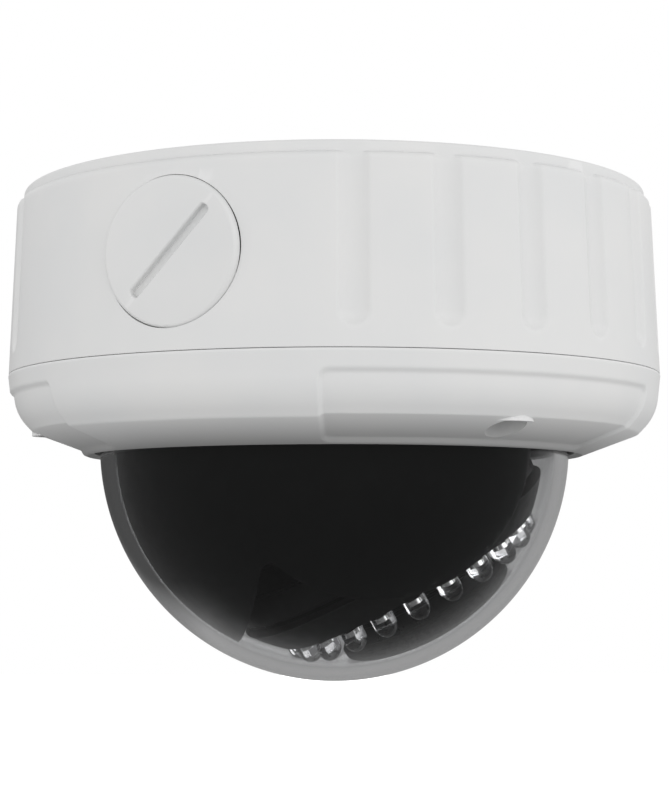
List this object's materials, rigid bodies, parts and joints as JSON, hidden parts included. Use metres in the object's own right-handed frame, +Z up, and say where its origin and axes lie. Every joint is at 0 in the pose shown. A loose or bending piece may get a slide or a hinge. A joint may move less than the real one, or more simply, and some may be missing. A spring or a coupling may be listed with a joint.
{
  "type": "dome security camera",
  "caption": "Ceiling dome security camera: ribbed round housing, screwed cover with clear dome, black liner and a three-axis lens gimbal with an infrared LED ring.",
  "frame": {"origin": "centre of the flat ceiling face at the top of the housing", "axes": "+Z up, out of the ceiling face, along the dome's axis; -Y to the front; the lens tilts towards +X at rest"},
  "size_m": [0.145, 0.145, 0.1078],
  "materials": {
    "powder_coat": "satin white powder coat over die-cast aluminium",
    "clear_polycarbonate": "clear, lightly smoked moulded polycarbonate",
    "led_epoxy": "water-clear epoxy",
    "rubber": "matte black rubber",
    "circuit_board": "green solder mask",
    "brass": "turned brass",
    "steel": "zinc-plated and stainless steel",
    "grey_plastic": "matte grey plastic",
    "black_plastic": "fine-textured black plastic",
    "liner_black": "satin black vacuum-formed plastic",
    "lens_black": "satin black moulded lens housing",
    "lens_glass": "coated optical glass"
  },
  "bodies": {
    "housing": {"base_housing": "powder_coat", "cable_grommet": "rubber", "power_board": "circuit_board", "board_standoff_1": "brass", "board_standoff_2": "brass", "board_standoff_3": "brass", "board_screw_1": "steel", "board_screw_2": "steel", "board_screw_3": "steel", "power_terminal_block": "grey_plastic", "video_socket": "steel", "service_video_jack": "black_plastic", "gimbal_base_ring": "black_plastic", "gimbal_post_1": "brass", "gimbal_post_2": "brass", "gimbal_post_3": "brass"},
    "conduit_seal": {"conduit_plug_seal": "rubber"},
    "conduit_plug": {"conduit_plug": "powder_coat"},
    "cover": {"cover_ring": "powder_coat", "seam_gasket": "rubber", "dome_bubble": "clear_polycarbonate", "dome_gasket": "rubber", "dome_clamp_ring": "steel", "clamp_ring_screw_1": "steel", "clamp_ring_screw_2": "steel", "clamp_ring_screw_3": "steel"},
    "cover_screw_1": {"cover_screw_1": "steel"},
    "cover_screw_2": {"cover_screw_2": "steel"},
    "cover_screw_3": {"cover_screw_3": "steel"},
    "pan": {"pan_turntable": "black_plastic", "yoke_arm_near": "black_plastic", "yoke_arm_far": "black_plastic", "liner_shroud": "liner_black"},
    "pan_lock": {"pan_lock_screw": "brass"},
    "tilt_lock_near": {"tilt_lock_screw_near": "brass"},
    "tilt_lock_far": {"tilt_lock_screw_far": "brass"},
    "tilt": {"tilt_frame": "black_plastic"},
    "lens_module": {"module_chassis": "black_plastic", "camera_board": "circuit_board", "board_connector": "grey_plastic", "image_sensor": "grey_plastic", "lens_mount": "black_plastic", "lens_barrel": "lens_black", "eyeball_bezel": "black_plastic", "led_board": "circuit_board", "ir_led_ring": "led_epoxy"},
    "ir_filter": {"ir_cut_filter": "lens_glass"},
    "zoom_ring": {"zoom_ring": "lens_black"},
    "zoom_lock": {"zoom_lock_screw": "steel"},
    "zoom_group": {"zoom_lens_group": "lens_glass"},
    "focus_ring": {"focus_ring": "lens_black"},
    "focus_lock": {"focus_lock_screw": "steel"},
    "front_lens": {"front_lens_cell": "lens_black", "front_lens_element": "lens_glass", "light_shield": "rubber"}
  },
  "joints": [
    {"name": "conduit_plug_travel", "type": "slide", "parent": "housing", "child": "conduit_seal", "axis": [-0.4478, -0.8942, 0], "range_m": [0, 0.0128]},
    {"name": "conduit_plug_turn", "type": "hinge", "parent": "conduit_seal", "child": "conduit_plug", "pos_m": [-0.03134, -0.06259, -0.0209], "axis": [-0.4478, -0.8942, 0], "range_deg": [0, 2520]},
    {"name": "cover_lift_off", "type": "slide", "parent": "housing", "child": "cover", "axis": [0, 0, -1], "range_m": [0, 0.075]},
    {"name": "cover_screw_1_turn", "type": "hinge", "parent": "cover", "child": "cover_screw_1", "pos_m": [0.03411, -0.05153, -0.0495], "axis": [0, 0, -1], "range_deg": [0, 2880]},
    {"name": "cover_screw_2_turn", "type": "hinge", "parent": "cover", "child": "cover_screw_2", "pos_m": [0.02757, 0.05531, -0.0495], "axis": [0, 0, -1], "range_deg": [0, 2880]},
    {"name": "cover_screw_3_turn", "type": "hinge", "parent": "cover", "child": "cover_screw_3", "pos_m": [-0.06168, -0.00377, -0.0495], "axis": [0, 0, -1], "range_deg": [0, 2880]},
    {"name": "pan", "type": "hinge", "parent": "housing", "child": "pan", "pos_m": [0, 0, -0.0555], "axis": [0, 0, 1], "range_deg": [-175, 175]},
    {"name": "pan_lock_turn", "type": "hinge", "parent": "pan", "child": "pan_lock", "pos_m": [-0.04024, -0.00929, -0.028], "axis": [0, 0, -1], "range_deg": [0, 540]},
    {"name": "tilt_lock_near_turn", "type": "hinge", "parent": "pan", "child": "tilt_lock_near", "pos_m": [0.01001, -0.04336, -0.0555], "axis": [0.225, -0.9744, 0], "range_deg": [0, 540]},
    {"name": "tilt_lock_far_turn", "type": "hinge", "parent": "pan", "child": "tilt_lock_far", "pos_m": [-0.01001, 0.04336, -0.0555], "axis": [-0.225, 0.9744, 0], "range_deg": [0, 540]},
    {"name": "tilt", "type": "hinge", "parent": "pan", "child": "tilt", "pos_m": [0, 0, -0.0555], "axis": [0.225, -0.9744, 0], "range_deg": [-15, 45]},
    {"name": "lens_rotation", "type": "hinge", "parent": "tilt", "child": "lens_module", "pos_m": [0, 0, -0.0555], "axis": [0.4872, 0.1125, -0.866], "range_deg": [-175, 175]},
    {"name": "ir_filter_switch", "type": "slide", "parent": "lens_module", "child": "ir_filter", "axis": [0.8438, 0.1948, 0.5], "range_m": [0, 0.005]},
    {"name": "zoom_ring_turn", "type": "hinge", "parent": "lens_module", "child": "zoom_ring", "pos_m": [0.00731, 0.00169, -0.06849], "axis": [0.4872, 0.1125, -0.866], "range_deg": [0, 60]},
    {"name": "zoom_group_travel", "type": "slide", "parent": "lens_module", "child": "zoom_group", "axis": [0.4872, 0.1125, -0.866], "range_m": [0, 0.0041]},
    {"name": "zoom_lock_turn", "type": "hinge", "parent": "zoom_ring", "child": "zoom_lock", "pos_m": [0.02418, 0.00558, -0.05849], "axis": [0.8438, 0.1948, 0.5], "range_deg": [0, 540]},
    {"name": "focus_ring_turn", "type": "hinge", "parent": "lens_module", "child": "focus_ring", "pos_m": [0.01096, 0.00253, -0.07499], "axis": [0.4872, 0.1125, -0.866], "range_deg": [0, 90]},
    {"name": "front_lens_travel", "type": "slide", "parent": "lens_module", "child": "front_lens", "axis": [-0.4872, -0.1125, 0.866], "range_m": [0, 0.002]},
    {"name": "focus_lock_turn", "type": "hinge", "parent": "focus_ring", "child": "focus_lock", "pos_m": [0.02784, 0.00643, -0.06499], "axis": [0.8438, 0.1948, 0.5], "range_deg": [0, 540]}
  ],
  "couplings": [
    {"joint": "conduit_plug_travel", "follows": "conduit_plug_turn", "m_per_rad": 0.00028871},
    {"joint": "zoom_group_travel", "follows": "zoom_ring_turn", "m_per_rad": 0.0038197},
    {"joint": "focus_ring_turn", "follows": "front_lens_travel", "rad_per_m": 785.4}
  ]
}
